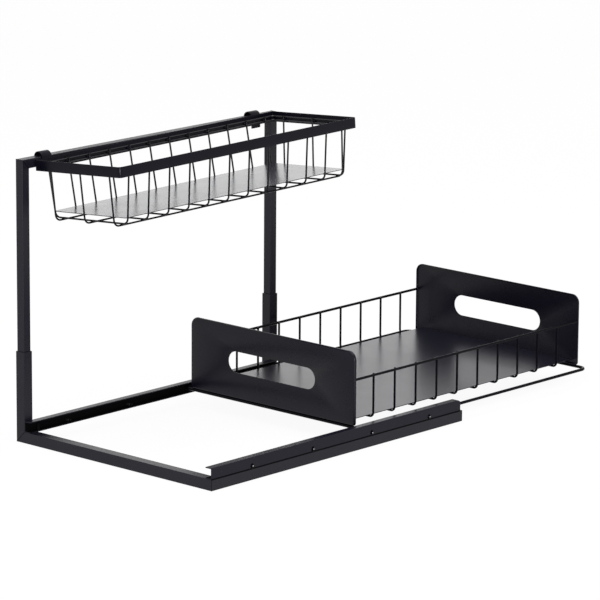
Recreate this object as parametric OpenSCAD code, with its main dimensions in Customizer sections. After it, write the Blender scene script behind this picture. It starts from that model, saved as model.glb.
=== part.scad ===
// Two-tier pull-out cabinet basket: a square-tube base with a sliding drawer and a hanging wire basket.
// Origin: the middle of the rear cross tube's underside, on the floor.
// +X to the post side, +Y to the back, +Z up.
// The drawer is drawn pulled out.

/* [Base frame] */
// Width over the left rail's web and the posts
base_w = 297.7; // [260:0.1:420]
// Depth over the left tube and the rear cross tube
base_d = 409.7; // [320:0.1:520]
// Side of the square base tubes and post sockets
tube = 12.7; // [11.5:0.1:16]
// Wall of the base tubes
tube_wall = 1; // [0.8:0.1:1.5]
// Outer corner radius of every square tube
tube_r = 0.7; // [0.4:0.1:1.2]
// Height of the post sockets above the floor
socket_h = 102.7; // [60:0.1:160]
// Thickness of an end plug's head
plug_t = 1.5; // [1:0.1:3]
// Depth of an end plug inside its tube
plug_l = 6; // [3:0.5:12]

/* [Upper frame] */
// Clearance between a post and its socket, each side
post_gap = 0.1; // [0.05:0.05:0.3]
// Wall of the upper frame's tubes
post_wall = 1; // [0.8:0.1:1.5]
// Height of the top bar's upper face above the floor
upper_h = 317.7; // [240:0.1:420]

/* [Rails] */
// Height of a rail channel
rail_h = 12.6; // [11:0.1:16]
// Width of a rail's lips
rail_w = 9; // [8.5:0.5:12]
// Sheet thickness of the rails
rail_t = 1; // [0.8:0.1:1.2]
// Outer bend radius of the rails
rail_bend = 1.5; // [1.3:0.1:2]
// Distance of the rails' front ends behind the base's front face
rail_setback = 4; // [0:1:20]
// Radius of the rails' cut front corner
rail_end_r = 4; // [1:0.5:8]
// Length of a stop tab along the rail
tab_l = 3; // [2:0.5:6]

/* [Rollers] */
// Distance of the first roller behind the base's front face
roller_first = 57.3; // [30:0.1:70]
// Distance of the last roller ahead of the base's rear face
roller_last = 63.1; // [30:0.1:70]
// Outer radius of a roller
roller_r = 1.9; // [1.8:0.05:2.2]
// Length of a roller
roller_l = 5.2; // [4:0.1:5.4]
// Running clearance between a roller's bore and its pin
roller_bore_gap = 0.05; // [0.02:0.01:0.1]
// Clearance between a roller and the sheet below and beside it
roller_side_gap = 0.25; // [0.2:0.05:0.5]
// Radius of a roller pin's shank
pin_r = 1.2; // [1:0.05:1.3]
// Radius of a pin's domed head
pin_head_r = 3; // [2.5:0.1:4.5]
// Height of a pin's domed head
pin_head_h = 1.4; // [0.8:0.1:2]
// Radius of the flange that keeps a roller on its pin
pin_flange_r = 1.8; // [1.5:0.05:1.9]
// Thickness of that flange
pin_flange_t = 0.8; // [0.5:0.1:1]

/* [Slider loop] */
// Diameter of the slider loop's rod
rod_d = 3.5; // [2.5:0.1:4]
// Corner radius of the loop, on the rod's centreline
loop_r = 9; // [8:0.5:20]
// Distance of the loop's side rods inside the outer faces of the rails
leg_inset = 4.7; // [4.6:0.1:5.5]
// Clearance between the rod and the rollers
rod_gap = 0.1; // [0.05:0.05:0.3]
// Clearance between the rod and a stop tab at either end of the travel
stop_gap = 0.3; // [0.2:0.1:1]

/* [Drawer] */
// Clearance between the end panels and each rail
drawer_side_gap = 8.5; // [2:0.5:30]
// Distance of the closed drawer behind the base's front face
drawer_setback = 2; // [0:0.5:8]
// Distance of the closed drawer ahead of the base's rear face
drawer_rear_gap = 13.7; // [8:0.1:40]
// Length of drawer that stays over the base when it is pulled out
drawer_held = 164; // [60:1:200]
// Height of the end panels
panel_h = 84; // [70:1:110]
// Sheet thickness of the end panels
panel_t = 1; // [0.8:0.1:1.5]
// Depth of a panel over its folded edge
panel_flange = 3.2; // [3.2:0.1:8]
// Outer radius of the fold along a panel's edges
panel_bend = 2.2; // [1.8:0.1:3]
// Radius of the panels' upper corners
panel_r = 10; // [4:0.5:20]
// Radius of the panels' lower corners
panel_foot_r = 3.2; // [3.2:0.2:10]
// Length of a handle slot
slot_l = 132; // [90:1:160]
// Height of a handle slot
slot_h = 24.5; // [20:0.5:32]
// Height of the slot's middle above the panel's lower edge
slot_z = 42.5; // [36:0.5:50]
// Diameter of the top wires
top_wire_d = 3; // [2.5:0.1:4]
// Height of the top wires above the panel's lower edge
top_wire_z = 52.3; // [35:0.1:62]
// Number of cross wires
cross_count = 10; // [4:1:16]
// Distance of the outermost cross wires from the panels' outer faces
cross_margin = 36.5; // [15:0.5:60]
// Diameter of the cross wires
cross_d = 2.5; // [2:0.1:3]
// Bend radius of the cross wires, on the wire's centreline
cross_bend = 5; // [3:0.5:8]
// Height of the cross wires' underside above the panels' lower edge
cross_rise = 2.4; // [1.5:0.1:6]
// Thickness of the drawer's floor sheet
drawer_floor_t = 0.8; // [0.6:0.1:1.2]

/* [Upper basket] */
// Width of the basket's rim
rim_w = 130.5; // [100:0.5:150]
// Distance of the rim's front end behind the front post's middle
rim_front_gap = 3.5; // [-3:0.5:30]
// Distance of the rim's rear end ahead of the rear post's middle
rim_rear_gap = 13; // [4:0.5:60]
// Height of the rim band
rim_h = 12; // [11:0.5:16]
// Thickness of the rim band
rim_t = 0.8; // [0.8:0.1:1.5]
// Outer radius of the rim's two corners on the free side
rim_r = 4; // [3:0.5:12]
// Diameter of the two ring wires inside the rim
ring_d = 1.8; // [1.6:0.1:2.8]
// Depth of the upper ring wire's centre below the rim's top edge
ring_1 = 5.2; // [3.5:0.1:5.5]
// Depth of the lower ring wire's centre below the rim's top edge
ring_2 = 9.4; // [9:0.1:9.6]
// Diameter of the basket's wires
wire_d = 2; // [1.6:0.1:2.4]
// Number of cross wires in the basket
basket_cross_count = 12; // [6:1:16]
// Distance of the outermost cross wires from the rim's ends
basket_cross_margin = 16.5; // [15:0.1:30]
// Number of lengthwise wires in the basket
basket_long_count = 3; // [2:1:5]
// Spacing of the lengthwise wires
basket_long_pitch = 45; // [20:1:45]
// Depth of the basket below the rim's top edge
basket_depth = 68; // [45:1:90]
// How far each long side leans in between the rim and the bottom
basket_taper = 6.4; // [2:0.2:12]
// How far each end leans in between the rim and the bottom
basket_end_taper = 3; // [1:0.5:10]
// Bend radius of the basket's wires, on the wire's centreline
wire_bend = 7; // [6:0.5:9]
// Thickness of the basket's floor sheet
basket_floor_t = 0.8; // [0.6:0.1:1.2]
// Height of the floor sheet above the cross wires; its edges rest on the wires' bends
basket_floor_rise = 5.5; // [3:0.1:5.5]
// Distance of the floor sheet's ends inside the rim's ends
basket_floor_margin = 14; // [13:0.5:40]
// Upward tilt of the basket's free side
basket_tilt = 4.3; // [0:0.1:5]
// Upward pitch of the basket's front end
basket_pitch = 0.6; // [0:0.1:1]

/* [Hooks] */
// Width of a hook strap
hook_w = 14.5; // [8:0.5:20]
// Thickness of a hook strap
hook_t = 1; // [0.8:0.1:1.5]
// Clearance between a hook and the top bar
hook_gap = 0.3; // [0.2:0.05:0.6]
// Length of the hook's tail below the rim
hook_tail = 2; // [1:0.5:8]
// Distance of the rear hook's middle from the rim's rear end
rear_hook_margin = 18; // [15:1:60]
// Distance of the front hook's middle from the rim's front end
front_hook_margin = 28; // [20:1:60]

/* [Hidden] */
$fn = 48;

// Finishes
black_coat = [0.10, 0.10, 0.11];
black_sheet = [0.14, 0.14, 0.15];
black_nylon = [0.05, 0.05, 0.05];
zinc = [0.20, 0.20, 0.21];

// Rollers in each rail, numbered from the front
roller_count = 4;

// The base's outer faces
x_left = -base_w / 2;
x_right = base_w / 2;
y_rear = tube / 2;
y_front = y_rear - base_d;

// The bay between the outer faces of the two rails, which the drawer is centred in
bay_w = base_w - tube;
bay_x = (x_left + x_right - tube) / 2;

// The posts fill the sockets' bores. The rear one stands on the cross tube's lower wall, the front one
// on its socket's plug.
post = tube - 2 * tube_wall - 2 * post_gap;
post_x = x_right - tube / 2;
rear_post_z = tube_wall;
front_post_z = plug_t + plug_l;
front_post_y = y_front + tube / 2;
rear_post_y = y_rear - tube / 2;

// Heights that stack up from the rail's lower lip
roller_z = tube + rail_t + roller_side_gap + roller_r;
rod_z = roller_z + roller_r + rod_gap + rod_d / 2;

// The loop's cross rods are flush with the panels' outer faces and touch the panels' folds from below
loop_inset = rod_d / 2;
panel_z = rod_z + sqrt(pow(panel_bend + rod_d / 2, 2) - pow(panel_bend - loop_inset, 2)) - panel_bend;

// The rails along Y
rail_front = y_front + rail_setback;
rail_l = y_rear - rail_front;

// The drawer fits between the rails and within the base when it is closed; it is drawn pulled out
drawer_w = bay_w - 2 * rail_w - 2 * drawer_side_gap;
drawer_l = base_d - drawer_setback - drawer_rear_gap;
drawer_travel = drawer_setback + drawer_l - drawer_held;
drawer_rear = y_front + drawer_held;
drawer_front = drawer_rear - drawer_l;

// The slider loop, on the rod's centreline
loop_w = bay_w - 2 * leg_inset;
loop_l = drawer_l - 2 * loop_inset;
loop_y = (drawer_front + drawer_rear) / 2;

// The stop tabs catch the loop's rear corners, where the rod curves out of the rails.
// tab_x is how far a tab's two faces lie inside the centre of that curve.
tab_x = [loop_r + leg_inset - rail_w, loop_r + leg_inset - rail_w + rail_t];
corner_y = drawer_rear - loop_inset - loop_r;
out_stop_y = corner_y + sqrt(pow(loop_r - rod_d / 2, 2) - pow(tab_x[1], 2)) - stop_gap;
in_stop_y = corner_y + drawer_travel + sqrt(pow(loop_r + rod_d / 2, 2) - pow(tab_x[0], 2)) + stop_gap;
tab_h = rod_z + rod_d / 2 - tube;

// The drawer's wires and floor; the top wires are flush with the panels' sides and end on their folded edges
top_wire_x = (drawer_w - top_wire_d) / 2;
cross_x = top_wire_x - top_wire_d / 2 - cross_d / 2;
cross_z = panel_z + cross_rise + cross_d / 2;
cross_pitch = (drawer_l - 2 * cross_margin) / (cross_count - 1);
drawer_floor_w = 2 * (cross_x - cross_bend);

// The hooks' arch, which sits over the rounded upper corners of the top bar
arch_r = post / 2 + hook_gap;
seat_gap = 0.8 * hook_gap;
arch_z = upper_h - tube_r - sqrt(pow(arch_r - tube_r - seat_gap, 2) - pow(post / 2 - tube_r, 2));

// The basket hangs from the middle of the rim's outer face, against the hooks
rim_l = rear_post_y - rim_rear_gap - front_post_y - rim_front_gap;
hang_x = post_x - arch_r - hook_t;
hang_y = (front_post_y + rim_front_gap + rear_post_y - rim_rear_gap) / 2;
hang_z = upper_h - rim_h / 2;

// The basket's wires, measured inward from the rim and down from its top edge
wire_inset = rim_t + ring_d + wire_d / 2;
wire_top = ring_1 - ring_d / 2 - wire_d / 4;
wire_knee = rim_h - wire_d / 2;
long_depth = basket_depth - wire_d / 2;
cross_depth = long_depth - wire_d;

// The basket's floor sheet rests on the cross wires' bends
bend_in = wire_bend - wire_d / 2;
cross_lean = atan(basket_taper / (cross_depth - wire_knee));
cross_flat = rim_w / 2 - wire_inset - basket_taper - wire_bend * tan((90 - cross_lean) / 2);
basket_floor_w = 2 * (cross_flat + sqrt(pow(bend_in, 2) - pow(bend_in - basket_floor_rise, 2)));
floor_depth = cross_depth - wire_d / 2 - basket_floor_rise;
basket_floor_l = rim_l - 2 * basket_floor_margin;

// A rectangle with round corners, centred
module round_rect(w, h, r) {
  square([w, h - 2 * r], center = true);
  square([w - 2 * r, h], center = true);
  for (x = [-1, 1], y = [-1, 1])
    translate([x * (w / 2 - r), y * (h / 2 - r)]) circle(r);
}

// A slot with fully round ends, centred
module stadium(w, h) {
  square([w - h, h], center = true);
  for (x = [-1, 1]) translate([x * (w - h) / 2, 0]) circle(d = h);
}

// A square tube standing on z = 0
module square_tube(side, wall, length) {
  linear_extrude(length)
    difference() {
      round_rect(side, side, tube_r);
      square(side - 2 * wall, center = true);
    }
}

// Extrudes a drawing of the XZ plane along +Y
module along_y(length) {
  translate([0, length, 0]) rotate([90, 0, 0]) linear_extrude(length) children();
}

// Extrudes a drawing of the YZ plane along +X
module along_x(length) {
  rotate([90, 0, 90]) linear_extrude(length) children();
}

// Keeps a copy of its children on each side of the bay's middle plane, the right one mirrored
module left_side() {
  translate([x_left, 0, 0]) children();
}
module right_side() {
  translate([x_right - tube, 0, 0]) mirror([1, 0, 0]) children();
}

// A round wire bent along a flat path of [x, z] points, with arcs of radius bend at the inner points.
// The wire is a hair thicker where it is bent, and each bend laps over the ends of its straights.
bend_swell = 0.01;
bend_lap = 0.02;
function run(path, i) = (path[i + 1] - path[i]) / norm(path[i + 1] - path[i]);
function turn(path, i) = acos(run(path, i - 1) * run(path, i));
function setback(path, i, bend) = bend * tan(turn(path, i) / 2);
function left_turn(path, i) = let (a = run(path, i - 1), b = run(path, i)) a[0] * b[1] - a[1] * b[0] > 0;

module bent_wire(path, bend, d) {
  for (i = [0:len(path) - 2]) {
    u = run(path, i);
    before = i == 0 ? 0 : setback(path, i, bend) - bend_lap;
    after = i == len(path) - 2 ? 0 : setback(path, i + 1, bend) - bend_lap;
    from = path[i] + u * before;
    length = norm(path[i + 1] - path[i]) - before - after;
    translate([from[0], 0, from[1]]) rotate([0, atan2(u[0], u[1]), 0]) cylinder(h = length, d = d);
  }
  for (i = [1:len(path) - 2]) {
    u = run(path, i - 1);
    side = left_turn(path, i) ? 1 : -1;
    centre = path[i] - u * setback(path, i, bend) + side * bend * [-u[1], u[0]];
    start = atan2(u[1], u[0]) - side * 90 - (side > 0 ? 0 : turn(path, i));
    translate([centre[0], 0, centre[1]]) rotate([90, 0, 0]) rotate(start)
      rotate_extrude(angle = turn(path, i)) translate([bend, 0]) circle(d = d + bend_swell);
  }
}

// A closed ring of round wire with round corners, flat in XY and centred; r is on the wire's centreline
module ring_wire(w, l, r, d) {
  for (s = [-1, 1]) {
    translate([s * w / 2, r - l / 2, 0]) rotate([-90, 0, 0]) cylinder(h = l - 2 * r, d = d);
    translate([r - w / 2, s * l / 2, 0]) rotate([0, 90, 0]) cylinder(h = w - 2 * r, d = d);
  }
  for (i = [0:3])
    translate([(i == 0 || i == 3 ? 1 : -1) * (w / 2 - r), (i < 2 ? 1 : -1) * (l / 2 - r), 0])
      rotate(90 * i) rotate_extrude(angle = 90) translate([r, 0]) circle(d = d);
}

// A plastic end plug standing on z = 0: its head covers the tube's end and its body fills the bore
module end_plug() {
  linear_extrude(plug_t) round_rect(tube, tube, tube_r);
  translate([0, 0, plug_t]) linear_extrude(plug_l) square(tube - 2 * tube_wall, center = true);
}

// A post that stands at height foot, mitred into the top bar; inward is +1 where the bar runs towards +Y
module upper_post(y, foot, inward) {
  intersection() {
    translate([post_x, y, foot]) square_tube(post, post_wall, upper_h - foot);
    translate([post_x - post / 2, 0, 0]) along_x(post)
      polygon([[y - inward * post / 2, foot], [y - inward * post / 2, upper_h],
               [y + inward * post / 2, upper_h - post], [y + inward * post / 2, foot]]);
  }
}

// A rail: a C channel whose web is at x = 0 and whose open side faces +X, with two upright stop tabs
module rail() {
  difference() {
    union() {
      intersection() {
        translate([0, rail_front, tube]) along_y(rail_l) channel_section();
        along_x(rail_w) rail_outline();
      }
      for (y = [out_stop_y - tab_l, in_stop_y])
        translate([rail_w - rail_t, y, tube]) cube([rail_t, tab_l, tab_h]);
    }
    for (i = [1:roller_count])
      translate([0, roller_y(i), roller_z]) rotate([0, 90, 0]) cylinder(h = 3 * rail_t, r = pin_r, center = true);
  }
}

module channel_section() {
  difference() {
    intersection() {
      translate([rail_w, rail_h / 2]) round_rect(2 * rail_w, rail_h, rail_bend);
      square([rail_w, rail_h]);
    }
    translate([rail_w, rail_h / 2])
      round_rect(2 * (rail_w - rail_t), rail_h - 2 * rail_t, rail_bend - rail_t);
  }
}

// The rail seen from the side, with its upper front corner cut round
module rail_outline() {
  top = tube + rail_h;
  translate([rail_front, tube]) square([rail_l, rail_h - rail_end_r]);
  translate([rail_front + rail_end_r, tube]) square([rail_l - rail_end_r, rail_h]);
  translate([rail_front + rail_end_r, top - rail_end_r]) circle(rail_end_r);
}

function roller_y(i) = y_front + roller_first + (base_d - roller_first - roller_last) * (i - 1) / (roller_count - 1);

// The pins of one rail: a domed head outside the web, a shank, and a flange beyond the roller
module roller_pins() {
  dome_r = (pow(pin_head_r, 2) + pow(pin_head_h, 2)) / (2 * pin_head_h);
  shank_l = rail_t + roller_l + 2 * roller_side_gap + pin_flange_t;
  for (i = [1:roller_count])
    translate([0, roller_y(i), roller_z]) rotate([0, 90, 0]) {
      cylinder(h = shank_l, r = pin_r);
      translate([0, 0, shank_l - pin_flange_t]) cylinder(h = pin_flange_t, r = pin_flange_r);
      intersection() {
        translate([0, 0, dome_r - pin_head_h]) sphere(dome_r);
        translate([0, 0, -pin_head_h]) cylinder(h = pin_head_h, r = pin_head_r);
      }
    }
}

module roller(i) {
  translate([rail_t + roller_side_gap, roller_y(i), roller_z]) rotate([0, 90, 0])
    difference() {
      cylinder(h = roller_l, r = roller_r);
      translate([0, 0, -1]) cylinder(h = roller_l + 2, r = pin_r + roller_bore_gap);
    }
}

// The folded edge of a panel in section: its bend's centre is at x = 0, its depth runs along y
module fold_section() {
  translate([-bend_lap, 0]) square([bend_lap, panel_t]);
  intersection() {
    square(panel_bend);
    translate([0, panel_bend])
      difference() {
        circle(panel_bend);
        circle(panel_bend - panel_t);
      }
  }
  translate([panel_bend - panel_t, panel_bend]) square([panel_t, panel_flange - panel_bend]);
}

// A sheet with round corners of one radius above and another below, centred
module sheet_outline(w, h, top_r, foot_r) {
  translate([0, (foot_r - top_r) / 2]) square([w, h - foot_r - top_r], center = true);
  for (y = [-1, 1]) {
    r = y > 0 ? top_r : foot_r;
    translate([0, y * h / 4]) square([w - 2 * r, h / 2], center = true);
    for (x = [-1, 1]) translate([x * (w / 2 - r), y * (h / 2 - r)]) circle(r);
  }
}

// An end panel whose outer face is at y = 0, with a handle slot and all its edges folded towards +Y.
// Each turn of the loop adds one straight fold and the folded corner at its end.
module end_panel() {
  corners = [panel_r, panel_r, panel_foot_r, panel_foot_r];
  translate([bay_x, 0, panel_z + panel_h / 2]) mirror([0, 1, 0]) rotate([90, 0, 0]) {
    linear_extrude(panel_t)
      difference() {
        sheet_outline(drawer_w - 2 * panel_bend, panel_h - 2 * panel_bend,
                      panel_r - panel_bend, panel_foot_r - panel_bend);
        translate([0, slot_z - panel_h / 2]) stadium(slot_l, slot_h);
      }
    for (i = [0:3]) {
      across = i % 2 == 0 ? drawer_w : panel_h;
      along = i % 2 == 0 ? panel_h : drawer_w;
      r = corners[i];
      before = corners[(i + 3) % 4];
      rotate(90 * i) {
        translate([across / 2 - panel_bend, along / 2 - r, 0]) rotate([90, 0, 0])
          linear_extrude(along - r - before) fold_section();
        translate([across / 2 - r, along / 2 - r, 0])
          rotate_extrude(angle = 90) translate([r - panel_bend, 0]) fold_section();
      }
    }
  }
}

module drawer_top_wire(side) {
  translate([bay_x + side * top_wire_x, drawer_front + panel_flange, panel_z + top_wire_z])
    rotate([-90, 0, 0]) cylinder(h = drawer_l - 2 * panel_flange, d = top_wire_d);
}

// Places its children in the basket's own frame: x = 0 at the rim's outer face on the bar side,
// y = 0 at mid-length, z = 0 at the rim's top edge
module hung() {
  translate([hang_x, hang_y, hang_z]) rotate([0, basket_tilt, 0]) rotate([-basket_pitch, 0, 0])
    translate([0, 0, rim_h / 2]) children();
}

// A U-shaped basket wire along X, for a rim of the given width, whose legs lean in by taper
module basket_wire(width, depth, taper) {
  top = width / 2 - wire_inset;
  foot = top - taper;
  bent_wire([[top, -wire_top], [top, -wire_knee], [foot, -depth],
             [-foot, -depth], [-top, -wire_knee], [-top, -wire_top]], wire_bend, wire_d);
}

// A hook strap: a half ring over the top bar with a short outer leg and a longer leg on the rim
module hook(y) {
  translate([post_x, y - hook_w / 2, 0]) along_y(hook_w) {
    translate([0, arch_z])
      difference() {
        circle(arch_r + hook_t);
        circle(arch_r);
        translate([-2 * arch_r, -4 * arch_r]) square(4 * arch_r);
      }
    translate([arch_r, upper_h - post]) square([hook_t, arch_z - upper_h + post]);
    translate([-arch_r - hook_t, hang_z - rim_h / 2 - hook_tail])
      square([hook_t, arch_z - hang_z + rim_h / 2 + hook_tail]);
  }
}

// Mitred upward into the rear post's socket and sideways into the left tube
module rear_cross_tube() {
  color(black_coat)
    intersection() {
      translate([x_left, rear_post_y, tube / 2]) rotate([0, 90, 0]) square_tube(tube, tube_wall, base_w);
      translate([0, y_rear - tube, 0]) along_y(tube)
        polygon([[x_left, 0], [x_right, 0], [x_right - tube, tube], [x_left, tube]]);
      linear_extrude(tube)
        polygon([[x_left, y_rear], [x_right, y_rear], [x_right, y_rear - tube], [x_left + tube, y_rear - tube]]);
    }
}

// Mitred at the back and open at the front, where its plug sits
module left_base_tube() {
  color(black_coat)
    intersection() {
      translate([x_left + tube / 2, y_front + plug_t, tube / 2]) rotate([-90, 0, 0])
        square_tube(tube, tube_wall, base_d - plug_t);
      linear_extrude(tube)
        polygon([[x_left, y_front], [x_left + tube, y_front], [x_left + tube, y_rear - tube], [x_left, y_rear]]);
    }
}

// Mitred into the rear cross tube
module rear_post_socket() {
  color(black_coat)
    intersection() {
      translate([post_x, rear_post_y, 0]) square_tube(tube, tube_wall, socket_h);
      translate([0, y_rear - tube, 0]) along_y(tube)
        polygon([[x_right, 0], [x_right, socket_h], [x_right - tube, socket_h], [x_right - tube, tube]]);
    }
}

// Stands on its plug; the front end of the right rail is welded to its side
module front_post_socket() {
  color(black_coat) translate([post_x, front_post_y, plug_t]) square_tube(tube, tube_wall, socket_h - plug_t);
}

module left_tube_plug() {
  color(black_nylon) translate([x_left + tube / 2, y_front, tube / 2]) rotate([-90, 0, 0]) end_plug();
}

module front_socket_plug() {
  color(black_nylon) translate([post_x, front_post_y, 0]) end_plug();
}

module rear_post() { color(black_coat) upper_post(rear_post_y, rear_post_z, -1); }

module front_post() { color(black_coat) upper_post(front_post_y, front_post_z, 1); }

module top_bar() {
  bar_front = front_post_y - post / 2;
  bar_rear = rear_post_y + post / 2;
  color(black_coat)
    intersection() {
      translate([post_x, bar_front, upper_h - post / 2]) rotate([-90, 0, 0])
        square_tube(post, post_wall, bar_rear - bar_front);
      translate([post_x - post / 2, 0, 0]) along_x(post)
        polygon([[bar_front, upper_h], [bar_rear, upper_h],
                 [bar_rear - post, upper_h - post], [bar_front + post, upper_h - post]]);
    }
}

module left_rail() { color(black_coat) left_side() rail(); }

module right_rail() { color(black_coat) right_side() rail(); }

module left_roller_pins() { color(zinc) left_side() roller_pins(); }

module right_roller_pins() { color(zinc) right_side() roller_pins(); }

module left_roller_1() { color(black_nylon) left_side() roller(1); }
module left_roller_2() { color(black_nylon) left_side() roller(2); }
module left_roller_3() { color(black_nylon) left_side() roller(3); }
module left_roller_4() { color(black_nylon) left_side() roller(4); }

module right_roller_1() { color(black_nylon) right_side() roller(1); }
module right_roller_2() { color(black_nylon) right_side() roller(2); }
module right_roller_3() { color(black_nylon) right_side() roller(3); }
module right_roller_4() { color(black_nylon) right_side() roller(4); }

module slider_loop() {
  color(black_coat) translate([bay_x, loop_y, rod_z]) ring_wire(loop_w, loop_l, loop_r, rod_d);
}

module drawer_front_panel() { color(black_sheet) translate([0, drawer_front, 0]) end_panel(); }

module drawer_rear_panel() {
  color(black_sheet) translate([0, drawer_rear, 0]) mirror([0, 1, 0]) end_panel();
}

module drawer_left_top_wire() { color(black_coat) drawer_top_wire(-1); }

module drawer_right_top_wire() { color(black_coat) drawer_top_wire(1); }

module drawer_cross_wires() {
  top = panel_z + top_wire_z + top_wire_d / 2;
  color(black_coat)
    for (i = [1:cross_count])
      translate([bay_x, drawer_front + cross_margin + (i - 1) * cross_pitch, 0])
        bent_wire([[cross_x, top], [cross_x, cross_z], [-cross_x, cross_z], [-cross_x, top]],
                  cross_bend, cross_d);
}

module drawer_floor() {
  color(black_sheet)
    translate([bay_x - drawer_floor_w / 2, drawer_front + panel_t, cross_z + cross_d / 2])
      cube([drawer_floor_w, drawer_l - 2 * panel_t, drawer_floor_t]);
}

// The rim's outline, inset all round: square corners on the bar side, where the strip is joined
module rim_outline(inset) {
  l = rim_l - 2 * inset;
  translate([-rim_w + rim_r, -l / 2]) square([rim_w - rim_r - inset, l]);
  translate([-rim_w + inset, -rim_l / 2 + rim_r]) square([rim_r, rim_l - 2 * rim_r]);
  for (y = [-1, 1]) translate([-rim_w + rim_r, y * (rim_l / 2 - rim_r)]) circle(rim_r - inset);
}

module basket_rim() {
  color(black_coat) hung()
    translate([0, 0, -rim_h]) linear_extrude(rim_h)
      difference() {
        rim_outline(0);
        rim_outline(rim_t);
      }
}

module basket_ring_wires() {
  inset = rim_t + ring_d / 2;
  color(black_coat) hung()
    for (depth = [ring_1, ring_2])
      translate([-rim_w / 2, 0, -depth])
        ring_wire(rim_w - 2 * inset, rim_l - 2 * inset, rim_r, ring_d);
}

module basket_cross_wires() {
  span = rim_l - 2 * basket_cross_margin;
  color(black_coat) hung()
    for (i = [0:basket_cross_count - 1])
      translate([-rim_w / 2, span * (i / (basket_cross_count - 1) - 0.5), 0])
        basket_wire(rim_w, cross_depth, basket_taper);
}

module basket_long_wires() {
  color(black_coat) hung()
    for (i = [0:basket_long_count - 1])
      translate([-rim_w / 2 + basket_long_pitch * (i - (basket_long_count - 1) / 2), 0, 0])
        rotate(90) basket_wire(rim_l, long_depth, basket_end_taper);
}

module basket_floor() {
  color(black_sheet) hung()
    translate([-(rim_w + basket_floor_w) / 2, -basket_floor_l / 2, -floor_depth])
      cube([basket_floor_w, basket_floor_l, basket_floor_t]);
}

module rear_hook() { color(black_coat) hook(hang_y + rim_l / 2 - rear_hook_margin); }

module front_hook() { color(black_coat) hook(hang_y - rim_l / 2 + front_hook_margin); }

rear_cross_tube();
left_base_tube();
rear_post_socket();
front_post_socket();
left_tube_plug();
front_socket_plug();
rear_post();
front_post();
top_bar();
left_rail();
right_rail();
left_roller_pins();
right_roller_pins();
left_roller_1();
left_roller_2();
left_roller_3();
left_roller_4();
right_roller_1();
right_roller_2();
right_roller_3();
right_roller_4();
slider_loop();
drawer_front_panel();
drawer_rear_panel();
drawer_left_top_wire();
drawer_right_top_wire();
drawer_cross_wires();
drawer_floor();
basket_rim();
basket_ring_wires();
basket_cross_wires();
basket_long_wires();
basket_floor();
rear_hook();
front_hook();
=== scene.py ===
import bmesh
import bpy
import numpy as np
from mathutils import Matrix, Vector


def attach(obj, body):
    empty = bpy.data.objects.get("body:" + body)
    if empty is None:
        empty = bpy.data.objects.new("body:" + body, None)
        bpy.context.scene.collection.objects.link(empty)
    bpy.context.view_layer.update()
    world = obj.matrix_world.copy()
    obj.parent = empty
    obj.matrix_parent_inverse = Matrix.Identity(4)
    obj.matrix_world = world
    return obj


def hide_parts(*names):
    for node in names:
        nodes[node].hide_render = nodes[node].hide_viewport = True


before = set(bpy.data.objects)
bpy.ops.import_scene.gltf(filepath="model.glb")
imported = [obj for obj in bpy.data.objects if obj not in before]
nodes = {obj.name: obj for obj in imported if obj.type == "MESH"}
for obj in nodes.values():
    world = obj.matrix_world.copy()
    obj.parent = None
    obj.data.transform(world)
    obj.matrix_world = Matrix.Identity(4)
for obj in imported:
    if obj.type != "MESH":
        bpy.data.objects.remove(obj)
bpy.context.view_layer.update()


# ---- Studio: camera, pale floor, white surrounding and three soft boxes
# The camera stands behind the organiser, on its open side, and looks down at it a little. A broad soft box
# hangs overhead. A low strip on either side draws lines on the edges and shows in the flat sheets.
camera = bpy.data.objects.new("camera", bpy.data.cameras.new("camera"))
bpy.context.scene.collection.objects.link(camera)
camera.data.sensor_width = 36
camera.data.lens = 253.473
camera.data.clip_end = 50
camera.matrix_world = Matrix((
    (-0.73727799, 0.15662175, -0.65718399, -3.1248257),
    (-0.67555975, -0.16178773, 0.71933563, 3.1269419),
    (0.0063393, 0.97431738, 0.22508988, 1.2047117),
    (0, 0, 0, 1)))
bpy.context.scene.camera = camera
bpy.context.scene.view_settings.view_transform = "Standard"


class Link:
    """A node's output. Each sum or comparison of it adds a Math node, as in 1 - a; a | b is the larger."""

    def __init__(self, shade, socket):
        self.shade, self.socket = shade, socket

    def math(self, operation, *values):
        return self.shade.node("ShaderNodeMath", {"operation": operation}, dict(enumerate(values)))

    def __add__(self, other):
        return self.math("ADD", self, other)

    def __mul__(self, other):
        return self.math("MULTIPLY", self, other)

    def __sub__(self, other):
        return self.math("SUBTRACT", self, other)

    def __rsub__(self, other):
        return self.math("SUBTRACT", other, self)

    def __lt__(self, other):
        return self.math("LESS_THAN", self, other)

    def __gt__(self, other):
        return self.math("GREATER_THAN", self, other)

    def __or__(self, other):
        return self.math("MAXIMUM", self, other)

    def __abs__(self):
        return self.math("ABSOLUTE", self)

    __radd__, __rmul__ = __add__, __mul__


class Shader:
    """A material or world under construction, begun anew or added to as it is."""

    def __init__(self, owner, anew=True):
        owner.use_nodes = True
        self.tree = owner.node_tree
        if anew:
            self.tree.nodes.clear()

    def node(self, kind, settings=None, inputs=None, output=0):
        """Adds a node of a type, with its settings (a ramp's are pairs of position and grey) and the values
        or links of its sockets, and returns one of its outputs."""
        made = self.tree.nodes.new(kind)
        for key, value in (settings or {}).items():
            if key == "ramp":
                for _ in value[2:]:
                    made.color_ramp.elements.new(0.5)
                for element, (position, grey) in zip(made.color_ramp.elements, value):
                    element.position = position
                    element.color = (grey, grey, grey, 1)
            else:
                setattr(made, key, value)
        for key, value in (inputs or {}).items():
            if isinstance(value, Link):
                self.tree.links.new(value.socket, made.inputs[key])
            else:
                made.inputs[key].default_value = value
        return Link(self, made.outputs[output]) if made.outputs else None


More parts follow.
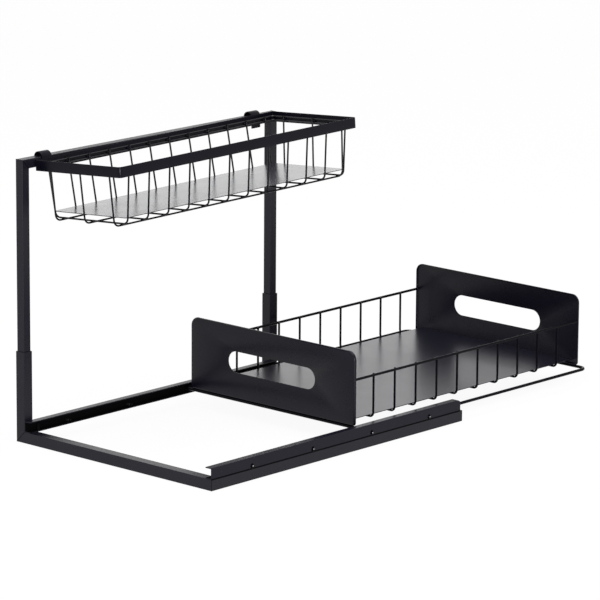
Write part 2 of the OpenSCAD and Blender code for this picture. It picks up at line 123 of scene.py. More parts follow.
def directly_seen(shade):
    """1 for a ray from the camera and for a mirrored or transmitted one, 0 for light on a matt surface."""
    camera_ray, mirrored, transmitted = (shade.node("ShaderNodeLightPath", output=f"Is {kind} Ray")
                                         for kind in ("Camera", "Glossy", "Transmission"))
    return camera_ray | mirrored | transmitted


def studio_world():
    """White to the camera and in reflections, and a softer white for the light it throws."""
    world = bpy.context.scene.world or bpy.data.worlds.new("studio")
    bpy.context.scene.world = world
    shade = Shader(world)
    white = shade.node("ShaderNodeBackground", inputs={
        "Color": (1, 1, 1, 1), "Strength": 0.7 + 0.3 * directly_seen(shade)})
    shade.node("ShaderNodeOutputWorld", inputs={"Surface": white})


def floor_finish():
    """Pale matt floor that looks white to the camera and in reflections, and still takes shadows."""
    material = bpy.data.materials.new("studio_floor")
    shade = Shader(material)
    matt = shade.node("ShaderNodeBsdfDiffuse", inputs={"Color": (0.86, 0.86, 0.86, 1)})
    glow = shade.node("ShaderNodeEmission", inputs={"Color": (1, 1, 1, 1), "Strength": 1.0})
    both = shade.node("ShaderNodeMixShader", inputs={0: 0.94 * directly_seen(shade), 1: matt, 2: glow})
    shade.node("ShaderNodeOutputMaterial", inputs={"Surface": both})
    return material


def soft_box(name, place, aim, size, watts):
    """A rectangular lamp of (width, height) at a place, turned so that it faces the point it aims at."""
    lamp = bpy.data.objects.new(name, bpy.data.lights.new(name, "AREA"))
    lamp.data.shape = "RECTANGLE"
    lamp.data.size, lamp.data.size_y = size
    lamp.data.energy = watts
    bpy.context.scene.collection.objects.link(lamp)
    away = Vector(place) - Vector(aim)
    lamp.matrix_world = Matrix.Translation(place) @ away.to_track_quat("Z", "Y").to_matrix().to_4x4()


studio_world()
floor_reach = 9
floor_mesh = bpy.data.meshes.new("studio_floor")
floor_mesh.from_pydata([(x * floor_reach, y * floor_reach, 0) for x, y in ((-1, -1), (1, -1), (1, 1), (-1, 1))],
                       [], [(0, 1, 2, 3)])
floor_mesh.materials.append(floor_finish())
floor = bpy.data.objects.new("studio_floor", floor_mesh)
bpy.context.scene.collection.objects.link(floor)
soft_box("overhead_box", (-0.3, -0.1, 2.4), (0, -0.3, 0.1), (2.2, 2.2), 50)
soft_box("camera_strip", (-2.35, 1.9, 0.22), (0, -0.3, 0.15), (1.1, 0.5), 60)
soft_box("far_strip", (2.4, -2.9, 0.62), (0, -0.3, 0.25), (2.4, 0.5), 4.5)


# ---- Base frame: square steel tube, mitred, welded and powder coated satin black
# The rear cross tube is saw-cut at 45 degrees to the left tube and to the rear post's socket, and each
# joint is a ground weld that leaves a fine dark line. The front socket stands free.
mm = 0.001
X, Y, Z = np.eye(3)
base_w, base_d = 297.7, 409.7
tube, tube_wall, tube_r = 12.7, 1.0, 0.7
half = tube / 2
x_left, x_right = -base_w / 2, base_w / 2
y_rear = half
y_front = y_rear - base_d
seam_r = 0.25


def blank_material(name):
    """A new material, its shader and the object's own coordinates, which all patterns follow."""
    material = bpy.data.materials.new(name)
    shade = Shader(material)
    return material, shade, shade.node("ShaderNodeTexCoord", output="Object")


def noise(shade, place, scale, detail, roughness=0.5):
    """Noise from 0 to 1; the scale is its waves to a metre."""
    return shade.node("ShaderNodeTexNoise", inputs={
        "Vector": place, "Scale": scale, "Detail": detail, "Roughness": roughness})


def mixed(shade, factor, first, second):
    """The colour between two, each a link or three numbers, at a factor from 0 to 1."""
    first, second = (colour if isinstance(colour, Link) else (*colour, 1) for colour in (first, second))
    return shade.node("ShaderNodeMix", {"data_type": "RGBA"}, {0: factor, 6: first, 7: second}, output=2)


def powder_coat(name, colour, rough, gloss, peel=0.35):
    """Powder coat: a black that varies a little in tone, with a few paler specks of dust and the fine
    uneven skin that the baked powder leaves."""
    material, shade, place = blank_material(name)
    colour = np.array(colour)
    uneven = noise(shade, place, 900.0, 3.0, 0.6)
    cloud = noise(shade, place, 22.0, 4.0, 0.55)
    dust = noise(shade, place, 3200.0, 1.0)
    specks = shade.node("ShaderNodeValToRGB", {"ramp": [(0.70, 0.0), (0.80, 1.0)]}, {0: dust})
    tone = mixed(shade, cloud, 0.8 * colour, 1.25 * colour)
    tone = mixed(shade, 0.35 * specks, tone, 2.2 * colour)
    bump = shade.node("ShaderNodeBump", inputs={"Height": uneven, "Strength": peel, "Distance": 0.00012})
    coat = shade.node("ShaderNodeBsdfPrincipled", inputs={
        "Base Color": tone, "Roughness": rough + 0.10 * (cloud - 0.5) + 0.05 * (uneven - 0.5),
        "Normal": bump, "Specular IOR Level": gloss})
    shade.node("ShaderNodeOutputMaterial", inputs={"Surface": coat})
    return material


def dress(node_name, material):
    """Gives a CAD node's object the material in its first slot."""
    mesh = nodes[node_name].data
    mesh.materials.clear()
    mesh.materials.append(material)


def laid(flat, centre, across, up):
    """Flat points (n, 2) laid in space: the centre plus x times one direction plus y times another."""
    return np.asarray(centre) + flat[:, :1] * np.asarray(across) + flat[:, 1:] * np.asarray(up)


def outline(width, height, radius, corner=9):
    """A rectangle with round corners as points (n, 2): each corner is a quarter circle of equal steps,
    from the +x +y corner anticlockwise. The radius is one for all or one for each corner."""
    angle = np.linspace(0, np.pi / 2, corner)[None, :] + np.arange(4)[:, None] * np.pi / 2
    sign = np.array([(1, 1), (-1, 1), (-1, -1), (1, -1)])[:, None, :]
    radius = np.broadcast_to(radius, 4)[:, None, None]
    centre = sign * (np.array([width, height]) / 2 - radius)
    return (centre + radius * np.stack([np.cos(angle), np.sin(angle)], -1)).reshape(-1, 2)


def skin(rings, closed=False):
    """Faces over a stack of closed rings, an array (rings, points, 3): points j and j + 1 of a ring are
    joined to the same two points of the next ring. A closed stack joins its last ring to its first."""
    count, around = rings.shape[:2]
    i = np.arange(count if closed else count - 1)[:, None]
    j = np.arange(around)[None, :]
    after, beside = (i + 1) % count, (j + 1) % around
    near, far = i * around, after * around
    return rings.reshape(-1, 3), np.stack([near + j, near + beside, far + beside, far + j], -1).reshape(-1, 4)


def rod(path, normal, radius, sides=16, closed=False):
    """A round rod along a path that lies in the plane with the given normal: each ring is a circle across
    the path, radius * (cos a * normal + sin a * side). An open rod ends in a small chamfer and a flat."""
    path = np.asarray(path, float)
    if closed:
        ahead = np.roll(path, -1, 0) - np.roll(path, 1, 0)
        thick = np.full(len(path), float(radius))
    else:
        ahead = np.gradient(path, axis=0)[[0, 0, *range(len(path)), -1, -1]]
        thick = radius * np.concatenate([[0, 0.75, 1], np.ones(len(path) - 2), [1, 0.75, 0]])
        start, end = path[0], path[-1]
        steps = [path[1] - start, path[-2] - end]
        inward, back = (0.3 * radius * step / np.linalg.norm(step) for step in steps)
        path = np.concatenate([[start, start, start + inward], path[1:-1], [end + back, end, end]])
    ahead = ahead / np.linalg.norm(ahead, axis=1)[:, None]
    side = np.cross(normal, ahead)[:, None]
    a = np.linspace(0, 2 * np.pi, sides, endpoint=False)[None, :, None]
    return skin(path[:, None] + thick[:, None, None] * (np.cos(a) * normal + np.sin(a) * side), closed)


def mitre_weld(centre, across, up, side):
    """A fine weld line where two square tubes meet at 45 degrees: a thin rod along the tube's own outline,
    stretched along the joint's diagonal."""
    line = laid(outline(side, side, tube_r, corner=6), centre, across, up)
    normal = np.cross(up, across)
    return rod(line, normal / np.linalg.norm(normal), seam_r, sides=8, closed=True)


def make_piece(name, parts, material, body, replaces=(), sharp=35):
    """One object from several skins, all in millimetres: doubles merged, faces outward, shaded smooth
    except over edges sharper than the given angle."""
    starts = np.cumsum([0] + [len(points) for points, _ in parts])
    points = np.concatenate([points for points, _ in parts]) * mm
    faces = np.concatenate([quads + start for (_, quads), start in zip(parts, starts)])
    mesh = bpy.data.meshes.new(name)
    mesh.from_pydata(points.tolist(), [], faces.tolist())
    work = bmesh.new()
    work.from_mesh(mesh)
    bmesh.ops.remove_doubles(work, verts=work.verts, dist=1e-7)
    bmesh.ops.recalc_face_normals(work, faces=work.faces)
    work.to_mesh(mesh)
    work.free()
    mesh.shade_smooth()
    mesh.set_sharp_from_angle(angle=np.radians(sharp))
    mesh.materials.append(material)
    piece = bpy.data.objects.new(name, mesh)
    bpy.context.scene.collection.objects.link(piece)
    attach(piece, body)
    if replaces:
        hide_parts(*replaces)


tube_coat = powder_coat("tube_coat", (0.0055, 0.005, 0.0095), 0.34, 0.20)
# Dark matt coat: the weld lines' own colour at the mitres, and painted shade on the strip in the rail groove.
weld_line_and_groove_shade_coat = powder_coat("weld_line_and_groove_shade_coat", (0.0015, 0.0015, 0.002), 0.7, 0.04)
for name in ("rear_cross_tube", "left_base_tube", "rear_post_socket", "front_post_socket"):
    dress(name, tube_coat)
base_joints = [mitre_weld((x_left + half, y_rear - half, half), X - Y, Z, tube),
               mitre_weld((x_right - half, y_rear - half, half), Z - X, Y, tube)]
for points, _ in base_joints:
    points[:, 2] = np.maximum(points[:, 2], 0)  # ground flush underneath
make_piece("base_weld_lines", base_joints, weld_line_and_groove_shade_coat, "frame")


# ---- End plugs: moulded nylon, pushed into the left tube's front end and the front socket's foot
# A flat head with eased edges covers the tube's end, and five sharp ribs round the body grip the bore.
# Both are the same moulding, in black.
plug_t, plug_l = 1.5, 6.0
rib_pitch, rib_depth = 1.1, 0.25


def nylon(name, grey):
    """Moulded nylon: dull black with a faint cloudy sheen."""
    material, shade, place = blank_material(name)
    cloud = noise(shade, place, 400.0, 2.0)
    tone = mixed(shade, cloud, (grey, grey, grey), (1.6 * grey, 1.6 * grey, 1.64 * grey))
    plastic = shade.node("ShaderNodeBsdfPrincipled", inputs={
        "Base Color": tone, "Roughness": 0.5 + 0.15 * cloud, "Specular IOR Level": 0.2})
    shade.node("ShaderNodeOutputMaterial", inputs={"Surface": plastic})
    return material


def end_plug(centre, across, up, ahead):
    """A plug as a stack of round-cornered squares, each of a given side at a given distance ahead of the
    head's outer face, and laid along the directions across and up."""
    bore = tube - 2 * tube_wall
    head = [(0, 0), (tube - 1.6, 0), (tube - 0.6, 0.15), (tube, 0.6), (tube, plug_t)]
    ribs = [(bore - 2 * rib_depth * (i % 2), plug_t + 0.65 + rib_pitch / 2 * i) for i in range(10)]
    tip = [(bore - 1, plug_t + plug_l), (0, plug_t + plug_l)]
    rings = [laid(outline(side, side, min(tube_r, side / 2), 5), centre + depth * ahead, across, up)
             for side, depth in head + ribs + tip]
    return skin(np.stack(rings))


roller_nylon = nylon("roller_nylon", 0.006)
make_piece("left_plug_moulded", [end_plug((x_left + half, y_front, half), -X, Z, Y)],
           roller_nylon, "frame", ("left_tube_plug",), sharp=50)
make_piece("socket_plug_moulded", [end_plug((x_right - half, y_front + half, 0), X, Y, Z)],
           roller_nylon, "frame", ("front_socket_plug",), sharp=50)


# ---- Upper frame: a goal of smaller square tube that plugs into the sockets
# Two posts and the top bar, mitred and welded at the corners and coated as the base is.
# The posts stand in the sockets by their own fit, with no screws.
post = 10.5
upper_h = 317.7
post_x = x_right - half
for name in ("rear_post", "front_post", "top_bar"):
    dress(name, tube_coat)
post_joints = [mitre_weld((post_x, y_rear - half, upper_h - post / 2), -Y - Z, X, post),
               mitre_weld((post_x, y_front + half, upper_h - post / 2), Y - Z, X, post)]
make_piece("post_weld_lines", post_joints, weld_line_and_groove_shade_coat, "frame")


# ---- Rails: C channels of 1 mm sheet that open towards each other
# The left rail is spot welded along the left tube, and a dark matt strip in the groove between them is
# painted shade. The right one bridges the two sockets. Inside the channels, painted shade darkens the coat.
rail_t, rail_h = 1.0, 12.6
bay_x, bay_w = -half, base_w - tube
groove_w, groove_h, groove_r = 0.3, 1.7, 0.14
groove_front, groove_rear = y_front + 4.3, y_rear - 0.3


def paint_channel_shade(material):
    """Mixes the coat with a nearly black one where a point is inside a channel, as painted shade: further in
    than the web's sheet, above the lower lip's and below the upper one's."""
    shade = Shader(material, anew=False)
    place = shade.node("ShaderNodeTexCoord", output="Object")
    x, z = (shade.node("ShaderNodeSeparateXYZ", inputs={0: place}, output=axis) for axis in (0, 2))
    over = 0.05
    inside = ((abs(x - bay_x * mm) < (bay_w / 2 - rail_t + over) * mm)
              * (z > (tube + rail_t - over) * mm) * (z < (tube + rail_h - rail_t + over) * mm))
    # A nearly black, matt shader: the painted shade inside the channels.
    channel_shade = shade.node("ShaderNodeBsdfPrincipled", inputs={
        "Base Color": (0.002, 0.002, 0.0025, 1), "Roughness": 0.75 + 0.1 * noise(shade, place, 900.0, 3.0),
        "Specular IOR Level": 0.03})
    end = shade.tree.nodes["Material Output"].inputs["Surface"]
    outer = Link(shade, end.links[0].from_socket)
    both = shade.node("ShaderNodeMixShader", inputs={0: inside, 1: outer, 2: channel_shade})
    shade.tree.links.new(both.socket, end)


rail_coat = powder_coat("rail_coat", (0.005, 0.0045, 0.0095), 0.32, 0.135)
# Painted shade inside both rails' channels.
paint_channel_shade(rail_coat)
dress("left_rail", rail_coat)
dress("right_rail", rail_coat)
# A dark matt strip in the groove between the left rail and the left tube: painted shade.
groove = outline(groove_w, groove_h, groove_r, 4)
strip = np.stack([laid(size * groove, (x_left + 0.1, y, tube - 0.05), X, Z) for y, size in (
    (groove_front, 0), (groove_front, 1), (groove_rear, 1), (groove_rear, 0))])
make_piece("rail_groove_shade_strip", [skin(strip)], weld_line_and_groove_shade_coat, "frame")


# ---- Roller pins: black-plated rivets through each rail's web
# A domed head outside, with the bright peened end of the shank in its middle, a turned shank and a flange
# that keeps the roller on. Four to a rail, at an even pitch.
roller_r, roller_l, roller_gap = 1.9, 5.2, 0.25
roller_first, roller_last = 57.3, 63.1
roller_y = np.linspace(y_front + roller_first, y_rear - roller_last, 4)
roller_z = tube + rail_t + roller_gap + roller_r
rail_web = {"left": (x_left, 1), "right": (x_right - tube, -1)}  # its outer face, and the way in
pin_r, pin_head_r, pin_head_h = 1.2, 3.0, 1.4
pin_flange_r, pin_flange_t = 1.8, 0.8


def turned(profile, centre, axis, sides=32):
    """A turned part: a profile of (distance along the axis, radius) pairs swept round an axis along X."""
    profile = np.asarray(profile, float)
    a = np.linspace(0, 2 * np.pi, sides, endpoint=False)[None, :]
    along, radius = profile[:, :1], profile[:, 1:]
    rings = np.stack([axis * along + 0 * a, radius * np.cos(a), radius * np.sin(a)], -1)
    return skin(rings + np.asarray(centre, float))


def plated(name, colour):
    """Black zinc plating, or the bare steel where it is off: mostly metallic, with a mottled roughness."""
    material, shade, place = blank_material(name)
    colour = np.array(colour)
    mottle = noise(shade, place, 700.0, 3.0)
    tone = mixed(shade, mottle, 0.7 * colour, 1.4 * colour)
    bump = shade.node("ShaderNodeBump", inputs={"Height": mottle, "Strength": 0.3, "Distance": 0.0001})
    metal = shade.node("ShaderNodeBsdfPrincipled", inputs={
        "Base Color": tone, "Metallic": 0.85, "Roughness": 0.22 + 0.2 * mottle, "Normal": bump,
        "Specular IOR Level": 0.1})
    shade.node("ShaderNodeOutputMaterial", inputs={"Surface": metal})
    return material


pin_coat = plated("pin_coat", (0.0012, 0.0012, 0.0016))
peened_steel = plated("peened_steel", (0.42, 0.42, 0.43))
dome = np.linspace(0.35, 1, 9)
shank = rail_t + roller_l + 2 * roller_gap + pin_flange_t
pin_profile = np.concatenate([
    [(0.75 - pin_head_h, 0), (0.7 - pin_head_h, 0.75)],
    np.stack([-pin_head_h * (1 - dome ** 2.6) + 0.02, pin_head_r * dome], -1),
    [(0, pin_head_r), (0, pin_r), (shank - pin_flange_t, pin_r), (shank - pin_flange_t, pin_flange_r - 0.1),
     (shank - pin_flange_t + 0.1, pin_flange_r), (shank - 0.1, pin_flange_r), (shank, pin_flange_r - 0.1),
     (shank, 0)]])
peened_profile = np.array([(-0.05, 0), (0.1, 0.6), (0.4, 0.85), (0.8, 0.9), (0.8, 0)]) - (pin_head_h, 0)
for side, (web, inward) in rail_web.items():
    pins = [turned(pin_profile, (web, y, roller_z), inward) for y in roller_y]
    make_piece(f"{side}_pins_turned", pins, pin_coat, "frame", (f"{side}_roller_pins",), sharp=50)
    ends = [turned(peened_profile, (web, y, roller_z), inward) for y in roller_y]
    make_piece(f"{side}_peened_ends", ends, peened_steel, "frame")


# ---- Rollers: moulded nylon bushes that turn on the pins
# A crowned tread with chamfered ends; the slider loop's rod lies on top of them.
# Each of the eight is its own moving body.
roller_bore = pin_r + 0.05
bevel, crown = 0.3, 0.04
roller_profile = [(0.25, roller_bore), (0, roller_bore + 0.2), (0, roller_r - bevel),
                  (bevel, roller_r - crown), (roller_l / 2, roller_r), (roller_l - bevel, roller_r - crown),
                  (roller_l, roller_r - bevel), (roller_l, roller_bore + 0.2),
                  (roller_l - 0.25, roller_bore), (0.25, roller_bore)]
for side, (web, inward) in rail_web.items():
    for number, y in enumerate(roller_y, 1):
        start = web + inward * (rail_t + roller_gap)
        make_piece(f"{side}_bush_{number}", [turned(roller_profile, (start, y, roller_z), inward)],
                   roller_nylon, f"{side}_roller_{number}", (f"{side}_roller_{number}",))


# ---- Slider loop: one closed loop of 3.5 mm rod under the drawer
# Bent from straight rod, butt welded, and welded to the folded lower edges of both end panels.
# Its long sides run in the rails, on the rollers.
rod_r, rod_gap, loop_r, leg_inset = 1.75, 0.1, 9.0, 4.7
rod_z = roller_z + roller_r + rod_gap + rod_r
drawer_l, drawer_held = 394.0, 164.0
drawer_rear = y_front + drawer_held
drawer_front = drawer_rear - drawer_l
wire_coat = powder_coat("wire_coat", (0.0015, 0.0013, 0.003), 0.26, 0.05, peel=0.2)
loop_path = laid(outline(bay_w - 2 * leg_inset, drawer_l - 2 * rod_r, loop_r, corner=13),
                 (bay_x, (drawer_front + drawer_rear) / 2, rod_z), X, Y)
make_piece("slider_loop_rod", [rod(loop_path, Z, rod_r, sides=24, closed=True)],
           wire_coat, "drawer", ("slider_loop",))


# ---- Drawer end panels: 1 mm sheet, punched and folded
# Each has a handle slot with a deburred edge and all four edges folded 3 mm inward over a 2.2 mm radius.
# The panels are welded to the loop, the top wires and the floor sheet.
drawer_w, panel_h = 250.0, 84.0
panel_t, panel_bend, panel_flange = 1.0, 2.2, 3.2
panel_corners = np.array([10.0, 10.0, 3.2, 3.2])
panel_z = rod_z + np.sqrt((panel_bend + rod_r) ** 2 - (panel_bend - rod_r) ** 2) - panel_bend
slot_l, slot_h, slot_z = 132.0, 24.5, 42.5
eased = [(0, 0.3), (0.1, 0.08), (0.3, 0)]


def folded_panel(outer_y, inward):
    """A folded sheet with a slot as one closed stack of rings. A ring is a round-cornered outline at a
    depth: the sheet's inset by b(1 - sin a) at depth b(1 - cos a) round the fold of radius b, then the
    flange and its eased tip, back along the inside of the sheet at radius b - t, and the slot's."""
    a = np.linspace(0, np.pi / 2, 7)
    inner = panel_bend - panel_t
    sheet = [(panel_bend * (1 - np.sin(t)), panel_bend * (1 - np.cos(t))) for t in a]
    sheet += [(u, panel_flange - v) for u, v in eased]
    sheet += [(panel_t - u, panel_flange - v) for u, v in eased[::-1]]
    sheet += [(panel_bend - inner * np.sin(t), panel_bend - inner * np.cos(t)) for t in a[::-1]]
    slot = [(-v, panel_t - u) for u, v in eased] + [(-v, u) for u, v in eased[::-1]]

    def ring(flat, depth, height):
        return laid(flat, (bay_x, outer_y + inward * depth, panel_z + height), X, Z)

    rings = [ring(outline(drawer_w - 2 * inset, panel_h - 2 * inset, panel_corners - inset, 13),
                  depth, panel_h / 2) for inset, depth in sheet]
    rings += [ring(outline(slot_l - 2 * inset, slot_h - 2 * inset, slot_h / 2 - inset - 1e-4, 13),
                   depth, slot_z) for inset, depth in slot]
    return skin(np.stack(rings), closed=True)


panel_coat = powder_coat("panel_coat", (0.0026, 0.0022, 0.006), 0.28, 0.19)
for name, outer_y, inward in (("front", drawer_front, 1), ("rear", drawer_rear, -1)):
    make_piece(f"folded_{name}_panel", [folded_panel(outer_y, inward)], panel_coat, "drawer",
               (f"drawer_{name}_panel",))


# ---- Drawer wires: two 3 mm top wires and ten U-shaped 2.5 mm cross wires
# The top wires are flush with the panels' sides and end on their folded edges. The cross wires carry the
# floor sheet and are spot welded to the inside of the top wires, with a small flat bead at each joint.
top_d, top_wire_z = 3.0, 52.3
top_x, top_z = (drawer_w - top_d) / 2, panel_z + top_wire_z
top_ends = drawer_front + panel_flange, drawer_rear - panel_flange
cross_d, cross_bend, cross_rise, cross_margin = 2.5, 5.0, 2.4, 36.5
cross_x = top_x - top_d / 2 - cross_d / 2
cross_z = panel_z + cross_rise + cross_d / 2
cross_y = np.linspace(drawer_front + cross_margin, drawer_rear - cross_margin, 10)


def bent(points, bend, steps=7):
    """The centreline of a bent wire as flat points (n, 2): straights between the given points, with an arc
    of the bend radius that touches both straights at each inner one."""
    points = np.asarray(points, float)
    out = [points[:1]]
    for before, at, after in zip(points[:-2], points[1:-1], points[2:]):
        u = (at - before) / np.linalg.norm(at - before)
        v = (after - at) / np.linalg.norm(after - at)
        turn = np.arccos(u @ v)
        across = np.sign(u[0] * v[1] - u[1] * v[0]) * np.array([-u[1], u[0]])
        a = np.linspace(0, turn, steps)[:, None]
        out.append(at - u * bend * np.tan(turn / 2) + bend * (np.sin(a) * u + (1 - np.cos(a)) * across))
    return np.concatenate(out + [points[-1:]])


def beads(centres, radii, sides=10, stack=7):
    """Weld beads: a squashed ball at each centre, radii along x, y and z, as a stack of rings."""
    a = np.linspace(0, 2 * np.pi, sides, endpoint=False)[None, :]
    b = np.linspace(-np.pi / 2, np.pi / 2, stack)[:, None]
    ball = np.stack([np.cos(b) * np.cos(a), np.cos(b) * np.sin(a), np.sin(b) + 0 * a], -1)
    return [skin(ball * np.asarray(radii, float) + centre) for centre in np.asarray(centres, float)]


for name, side in (("left", -1), ("right", 1)):
    path = [(bay_x + side * top_x, y, top_z) for y in top_ends]
    make_piece(f"{name}_top_rod", [rod(path, Z, top_d / 2, sides=24)], wire_coat, "drawer",
               (f"drawer_{name}_top_wire",))
tip_z = top_z + top_d / 2
cross_wire = bent([(cross_x, tip_z), (cross_x, cross_z), (-cross_x, cross_z), (-cross_x, tip_z)], cross_bend)
make_piece("cross_wires_bent", [rod(laid(cross_wire, (bay_x, y, 0), X, Z), Y, cross_d / 2) for y in cross_y],
           wire_coat, "drawer", ("drawer_cross_wires",))
top_joints = [(bay_x + side * (cross_x + cross_d / 2), y, top_z) for side in (-1, 1) for y in cross_y]
end_joints = [(bay_x + side * top_x, y, top_z) for side in (-1, 1)
              for y in (top_ends[0] + 0.2, top_ends[1] - 0.2)]
foot_joints = [(bay_x + x, y, rod_z + rod_r - 0.01) for x in (-70, 0, 70)
               for y in (drawer_front + rod_r + 0.2, drawer_rear - rod_r - 0.2)]
make_piece("drawer_weld_beads", beads(top_joints, (0.9, 1.5, 1.3)) + beads(end_joints, (1.8, 0.6, 1.9))
           + beads(foot_joints, (3.0, 0.5, 0.4)), wire_coat, "drawer")


# ---- Drawer floor: 0.8 mm sheet with a glossy coat
# It lies on the cross wires from panel to panel.
# The sheet isn't quite flat, so what it mirrors wavers a little.
def sheet_coat(name, colour, rough, gloss, wave):
    """Glossy coat on thin sheet: a slow wave in the surface and a faint grain, with cloudy roughness."""
    material, shade, place = blank_material(name)
    colour = np.array(colour)
    slow = noise(shade, place, 9.0, 1.0)
    cloud = noise(shade, place, 30.0, 4.0)
    grain = noise(shade, place, 900.0, 2.0)
    tone = mixed(shade, cloud, 0.8 * colour, 1.2 * colour)
    bump = shade.node("ShaderNodeBump", inputs={
        "Height": slow + 0.02 * grain, "Strength": 1.0, "Distance": wave})
    coat = shade.node("ShaderNodeBsdfPrincipled", inputs={
        "Base Color": tone, "Roughness": rough + 0.06 * (cloud - 0.5), "Normal": bump,
        "Specular IOR Level": gloss})
    shade.node("ShaderNodeOutputMaterial", inputs={"Surface": coat})
    return material


dress("drawer_floor", sheet_coat("floor_coat", (0.004, 0.0035, 0.009), 0.30, 0.50, 0.00008))


# ---- Rim band: 0.8 mm steel strip round the basket's top edge
# Bent to a rectangle, with its ends joined on the bar side, where the corners are tight. The whole basket
# hangs tilted a little, so its pieces are laid out level in a frame of their own and then turned.
rim_w, rim_h, rim_t = 130.5, 12.0, 0.8
rim_corners = np.array([1.0, 4.0, 4.0, 1.0])
rim_front_gap, rim_rear_gap = 3.5, 13.0
rim_front, rim_rear = y_front + half + rim_front_gap, y_rear - half - rim_rear_gap
rim_l = rim_rear - rim_front
basket_tilt, basket_pitch = np.radians(4.3), np.radians(0.6)
hook_t, hook_gap = 1.0, 0.3
arch_r = post / 2 + hook_gap
hang_x, hang_y, hang_z = post_x - arch_r - hook_t, (rim_front + rim_rear) / 2, upper_h - rim_h / 2


def hung(points):
    """From the basket's own frame, with x = 0 at the rim's outer face and z = 0 at its top edge, to the
    object's frame: turned about the middle of that face, by the pitch about the x axis and then by
    the tilt about the y axis."""
    x, y, z = points[..., 0], points[..., 1], points[..., 2] + rim_h / 2
    y, z = (y * np.cos(basket_pitch) + z * np.sin(basket_pitch),
            z * np.cos(basket_pitch) - y * np.sin(basket_pitch))
    return np.stack([hang_x + x * np.cos(basket_tilt) + z * np.sin(basket_tilt), hang_y + y,
                     hang_z - x * np.sin(basket_tilt) + z * np.cos(basket_tilt)], -1)


def hang_piece(name, parts, material, replaces=()):
    """make_piece for skins that are given in the basket's own frame."""
    parts = [(hung(points), quads) for points, quads in parts]
    make_piece(name, parts, material, "upper_basket", replaces)


rim_coat = powder_coat("rim_coat", (0.002, 0.0018, 0.005), 0.24, 0.11)
rim_section = outline(rim_t, rim_h, 0.3, 4) + (rim_t / 2, -rim_h / 2)
band = np.stack([laid(outline(rim_w - 2 * inset, rim_l - 2 * inset, rim_corners - inset, 13),
                      (-rim_w / 2, 0, z), X, Y) for inset, z in rim_section])
hang_piece("rim_band", [skin(band, closed=True)], rim_coat, ("basket_rim",))


# ---- Ring wires: two closed 1.8 mm wires welded inside the rim band, one above the other
# Each is bent to the rim's inner shape and butt welded, and the basket's wires are welded to both.
# Their coat is glossier than the other wires'.
ring_d, ring_r, ring_depths = 1.8, 4.0, (5.2, 9.4)
ring_inset = rim_t + ring_d / 2
ring_coat = powder_coat("ring_coat", (0.004, 0.0036, 0.007), 0.22, 0.45, peel=0.15)
ring_line = outline(rim_w - 2 * ring_inset, rim_l - 2 * ring_inset, ring_r, 9)
ring_rods = [rod(laid(ring_line, (-rim_w / 2, 0, -depth), X, Y), Z, ring_d / 2, closed=True)
             for depth in ring_depths]
hang_piece("ring_wires", ring_rods, ring_coat, ("basket_ring_wires",))


# ---- Basket wires: twelve cross wires and three lengthwise ones, bent from 2 mm wire
# Each is a wide U that stands upright inside the rim and leans in below it. The lengthwise wires pass
# under the cross wires, and every joint and crossing is spot welded.
wire_d, wire_bend = 2.0, 7.0
wire_inset = rim_t + ring_d + wire_d / 2
wire_top, wire_knee = ring_depths[0] - ring_d / 2 - wire_d / 4, rim_h - wire_d / 2
basket_depth, basket_margin, long_pitch = 68.0, 16.5, 45.0
basket_taper, basket_end_taper = 6.4, 3.0
long_depth = basket_depth - wire_d / 2
cross_depth = long_depth - wire_d
basket_y = np.linspace(basket_margin - rim_l / 2, rim_l / 2 - basket_margin, 12)
basket_x = long_pitch * np.array([-1, 0, 1]) - rim_w / 2


def basket_wire(width, depth, taper):
    """One U-shaped wire for a rim of the given width: upright in the rim, then leaning in by the taper."""
    top = width / 2 - wire_inset
    foot = top - taper
    return bent([(top, -wire_top), (top, -wire_knee), (foot, -depth), (-foot, -depth),
                 (-top, -wire_knee), (-top, -wire_top)], wire_bend)


basket_wire_coat = powder_coat("basket_wire_coat", (0.002, 0.0018, 0.004), 0.26, 0.14, peel=0.2)
cross_line = basket_wire(rim_w, cross_depth, basket_taper)
cross_rods = [rod(laid(cross_line, (-rim_w / 2, y, 0), X, Z), Y, wire_d / 2, 14) for y in basket_y]
hang_piece("basket_cross_rods", cross_rods, basket_wire_coat, ("basket_cross_wires",))
long_line = basket_wire(rim_l, long_depth, basket_end_taper)
long_rods = [rod(laid(long_line, (x, 0, 0), Y, Z), X, wire_d / 2, 14) for x in basket_x]
hang_piece("basket_long_rods", long_rods, basket_wire_coat, ("basket_long_wires",))
side_x, end_y = rim_w / 2 - rim_t - ring_d, rim_l / 2 - rim_t - ring_d
side_welds = [(side * side_x - rim_w / 2, y, -depth) for side in (-1, 1)
              for y in basket_y for depth in ring_depths]
end_welds = [(x, side * end_y, -depth) for side in (-1, 1) for x in basket_x for depth in ring_depths]
crossings = [(x, y, -cross_depth - wire_d / 2) for x in basket_x for y in basket_y]
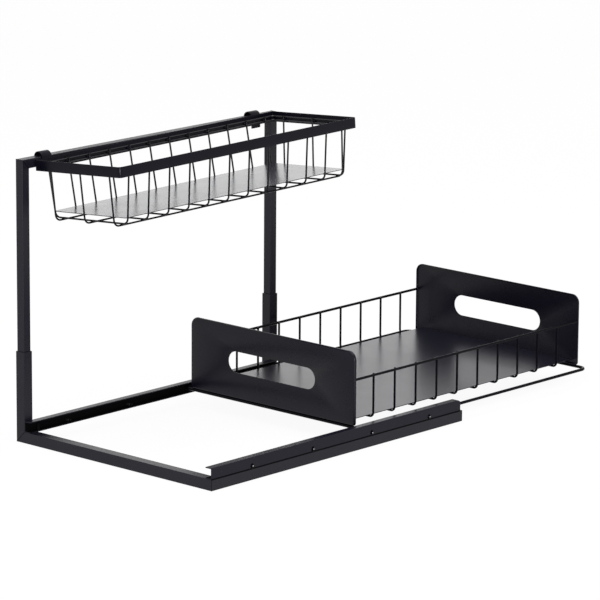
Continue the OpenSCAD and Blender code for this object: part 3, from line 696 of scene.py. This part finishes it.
hang_piece("basket_weld_beads", beads(side_welds, (0.5, 1.2, 0.9)) + beads(end_welds, (1.2, 0.5, 0.9))
           + beads(crossings, (1.0, 1.0, 0.35)), basket_wire_coat)


# ---- Basket floor: 0.8 mm sheet with a glossier coat than the drawer's
# It is laid in the basket and not welded.
# Its edges rest on the bends of the cross wires, a little above their flat runs.
dress("basket_floor", sheet_coat("basket_floor_coat", (0.012, 0.0115, 0.0175), 0.26, 0.85, 0.00015))


# ---- Hooks: two straps bent over the top bar
# 1 mm strip with rolled edges: a short outer leg, a half ring over the bar and a long leg that is
# welded to the outside of the rim and reaches a little below it.
hook_w, hook_tail, seat_gap = 14.5, 2.0, 0.24
rear_hook_margin, front_hook_margin = 18, 28
arch_z = upper_h - tube_r - np.sqrt((arch_r - tube_r - seat_gap) ** 2 - (post / 2 - tube_r) ** 2)


def hook_strap(y):
    """A strap along a path in the XZ plane: each ring is the strap's round-edged section, hook_w by
    hook_t, laid along Y and across the path; the ends shrink to a rounded tip."""
    reach = arch_r + hook_t / 2
    a = np.linspace(0, np.pi, 25)
    arc = np.stack([reach * np.cos(a), arch_z + reach * np.sin(a)], -1)
    leg_end, tail_end = upper_h - post, hang_z - rim_h / 2 - hook_tail
    path = np.concatenate([[(reach, leg_end)], arc, [(-reach, tail_end)]])
    ahead = np.concatenate([[(0, 1)], np.stack([-np.sin(a), np.cos(a)], -1), [(0, -1)]])
    middle = np.arange(1, len(path) - 1)
    order = np.concatenate([[0, 0, 0], middle, [-1, -1, -1]])
    shift = np.concatenate([[0, 0, 0.4], 0 * middle, [-0.4, 0, 0]])
    size = np.concatenate([[0, 0.94, 1], 0 * middle + 1, [1, 0.94, 0]])
    path = path[order] + shift[:, None] * ahead[order]
    section = outline(hook_w, hook_t, 0.35, 5)
    return skin(np.stack([laid(scale * section, (post_x + x, y, z), Y, (ahead_z, 0, -ahead_x))
                          for (x, z), (ahead_x, ahead_z), scale in zip(path, ahead[order], size)]))


for name, y in (("rear", rim_rear - rear_hook_margin), ("front", rim_front + front_hook_margin)):
    make_piece(f"{name}_hook_strap", [hook_strap(y)], rim_coat, "upper_basket", (f"{name}_hook",))
